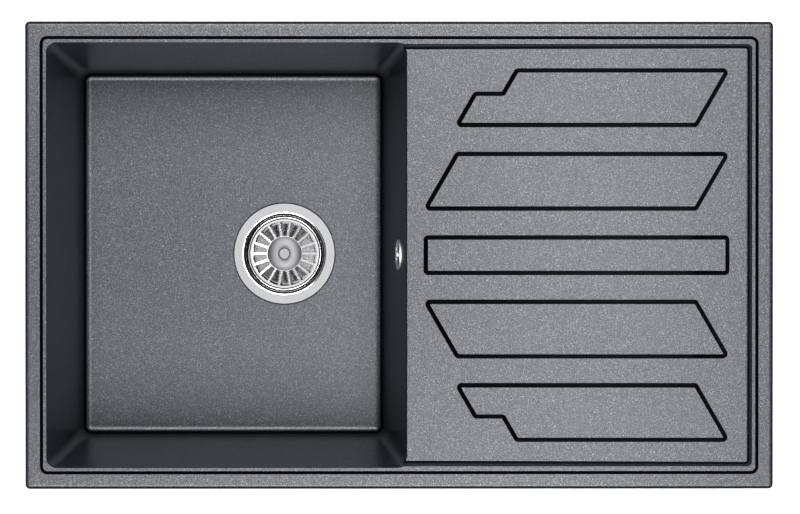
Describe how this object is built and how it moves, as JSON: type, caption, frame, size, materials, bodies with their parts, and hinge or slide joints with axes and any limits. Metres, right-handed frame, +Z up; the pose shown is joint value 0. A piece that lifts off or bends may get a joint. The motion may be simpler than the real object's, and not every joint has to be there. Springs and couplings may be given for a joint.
{
  "type": "inset kitchen sink",
  "caption": "Inset composite kitchen sink with a square bowl, a drainer with raised panels, a lift-out basket strainer waste, an overflow and swing-out fixing clips.",
  "frame": {"origin": "centre of the rim's outline, on the rim's underside where it rests on the worktop", "axes": "+X towards the drainer, +Y towards the rear, +Z up"},
  "size_m": [0.8, 0.5, 0.309],
  "materials": {
    "granite": "satin, finely speckled grey composite",
    "flange_steel": "satin",
    "basket_steel": "polished",
    "black_rubber": "matt",
    "white_plastic": "satin moulded",
    "hose_plastic": "ribbed, satin",
    "ring_plastic": "plain",
    "brass": "machined",
    "screw_steel": "bright",
    "chrome": "satin",
    "clip_steel": "zinc plated"
  },
  "bodies": {
    "sink": {"sink_body": "granite", "strainer_cup": "flange_steel", "flange_gasket": "black_rubber", "waste_gasket": "black_rubber", "overflow_gasket": "black_rubber", "waste_body": "white_plastic", "overflow_elbow": "white_plastic", "overflow_hose": "hose_plastic", "waste_insert": "brass", "overflow_insert": "brass", "clip_inserts": "brass", "fixing_screw": "screw_steel", "clip_screws": "screw_steel", "clip_washers": "screw_steel", "hose_clamp_upper": "screw_steel", "hose_clamp_lower": "screw_steel", "overflow_rosette": "chrome", "overflow_screw": "chrome"},
    "strainer": {"basket_stem": "basket_steel", "basket_knob": "basket_steel", "seal_disc": "basket_steel", "basket_seal": "black_rubber", "stem_ring": "ring_plastic"},
    "basket": {"basket_shell": "basket_steel"},
    "clip_1": {"fixing_clip_1": "clip_steel"},
    "clip_2": {"fixing_clip_2": "clip_steel"},
    "clip_3": {"fixing_clip_3": "clip_steel"},
    "clip_4": {"fixing_clip_4": "clip_steel"},
    "clip_5": {"fixing_clip_5": "clip_steel"},
    "clip_6": {"fixing_clip_6": "clip_steel"}
  },
  "joints": [
    {"name": "basket_lift", "type": "slide", "parent": "sink", "child": "strainer", "axis": [0, 0, 1], "range_m": [-0.008, 0.275]},
    {"name": "basket_turn", "type": "hinge", "parent": "strainer", "child": "basket", "pos_m": [-0.127, 0, -0.1988], "axis": [0, 0, 1], "continuous": true},
    {"name": "clip_1_swing", "type": "hinge", "parent": "sink", "child": "clip_1", "pos_m": [0.112, 0.216, -0.027], "axis": [0, 0, 1], "range_deg": [0, 90]},
    {"name": "clip_2_swing", "type": "hinge", "parent": "sink", "child": "clip_2", "pos_m": [0.289, 0.216, -0.027], "axis": [0, 0, 1], "range_deg": [0, 90]},
    {"name": "clip_3_swing", "type": "hinge", "parent": "sink", "child": "clip_3", "pos_m": [0.366, 0.15, -0.027], "axis": [0, 0, 1], "range_deg": [0, 90]},
    {"name": "clip_4_swing", "type": "hinge", "parent": "sink", "child": "clip_4", "pos_m": [0.366, -0.15, -0.027], "axis": [0, 0, 1], "range_deg": [0, 90]},
    {"name": "clip_5_swing", "type": "hinge", "parent": "sink", "child": "clip_5", "pos_m": [0.289, -0.216, -0.027], "axis": [0, 0, -1], "range_deg": [0, 90]},
    {"name": "clip_6_swing", "type": "hinge", "parent": "sink", "child": "clip_6", "pos_m": [0.112, -0.216, -0.027], "axis": [0, 0, -1], "range_deg": [0, 90]}
  ]
}
